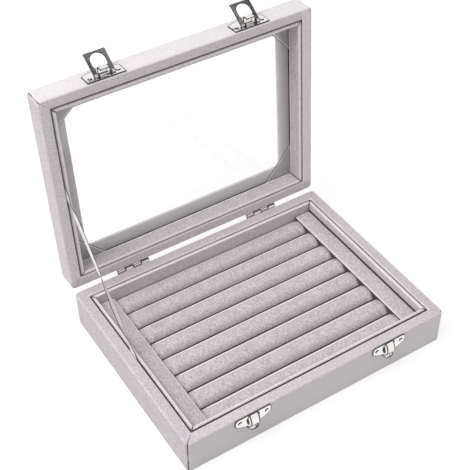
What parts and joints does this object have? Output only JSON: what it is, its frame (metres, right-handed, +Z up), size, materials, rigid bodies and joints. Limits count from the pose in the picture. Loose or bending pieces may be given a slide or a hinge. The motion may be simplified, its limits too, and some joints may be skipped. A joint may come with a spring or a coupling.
{
  "type": "ring display box",
  "caption": "Shallow velvet ring box with padded ring rolls, a hinged glass-topped lid on a ribbon stay and two toggle latches.",
  "frame": {"origin": "centre of the underside, on the surface that the box stands on", "axes": "+Z up, +X to the right along the hinge line, +Y to the back, where the hinges are; the lid is stored open"},
  "size_m": [0.2, 0.1832, 0.1887],
  "materials": {
    "board": "grey-brown board, never seen in use",
    "backing": "plain pale backing sheet",
    "foam": "soft foam, never seen in use",
    "roll_velvet": "pale mauve-grey velvet",
    "liner_velvet": "pale mauve-grey velvet",
    "velvet": "pale mauve-grey velvet",
    "glass": "clear float glass",
    "ribbon": "white satin",
    "tack_metal": "bright nickel plate",
    "nickel": "bright nickel plate"
  },
  "bodies": {
    "base": {"base_front_board": "board", "base_back_board": "board", "base_left_board": "board", "base_right_board": "board", "base_floor_board": "board", "base_velvet_cover": "velvet", "base_underside_sheet": "backing", "base_liner_front": "liner_velvet", "base_liner_back": "liner_velvet", "base_liner_left": "liner_velvet", "base_liner_right": "liner_velvet", "ring_tray_board": "board", "ring_roll_1": "roll_velvet", "ring_roll_2": "roll_velvet", "ring_roll_3": "roll_velvet", "ring_roll_4": "roll_velvet", "ring_roll_5": "roll_velvet", "ring_roll_6": "roll_velvet", "ring_roll_7": "roll_velvet", "ring_roll_8": "roll_velvet", "ring_roll_cores": "foam", "end_bar_left": "roll_velvet", "end_bar_right": "roll_velvet", "end_bar_cores": "foam", "hinge_left_base_leaf": "nickel", "hinge_right_base_leaf": "nickel", "hinge_pins": "nickel", "hinge_base_tacks": "tack_metal", "catch_left": "nickel", "catch_right": "nickel", "catch_tacks": "tack_metal", "stay_ribbon": "ribbon"},
    "lid": {"lid_front_board": "board", "lid_back_board": "board", "lid_left_board": "board", "lid_right_board": "board", "lid_window_border": "board", "lid_velvet_cover": "velvet", "glass_pane": "glass", "lid_liner_front": "liner_velvet", "lid_liner_back": "liner_velvet", "lid_liner_left": "liner_velvet", "lid_liner_right": "liner_velvet", "hinge_left_lid_leaf": "nickel", "hinge_right_lid_leaf": "nickel", "hinge_lid_tacks": "tack_metal", "latch_left_plate": "nickel", "latch_right_plate": "nickel", "latch_pins": "nickel", "latch_tacks": "tack_metal"},
    "left_lever": {"latch_left_lever": "nickel"},
    "right_lever": {"latch_right_lever": "nickel"}
  },
  "joints": [
    {"name": "lid_hinge", "type": "hinge", "parent": "base", "child": "lid", "pos_m": [0, 0.0763, 0.0273], "axis": [1, 0, 0], "range_deg": [0, 94], "deforming": ["stay_ribbon"]},
    {"name": "left_lever_pivot", "type": "hinge", "parent": "lid", "child": "left_lever", "pos_m": [-0.053, 0.09057, 0.17978], "axis": [1, 0, 0], "range_deg": [0, 143]},
    {"name": "right_lever_pivot", "type": "hinge", "parent": "lid", "child": "right_lever", "pos_m": [0.053, 0.09057, 0.17978], "axis": [1, 0, 0], "range_deg": [0, 143]}
  ]
}
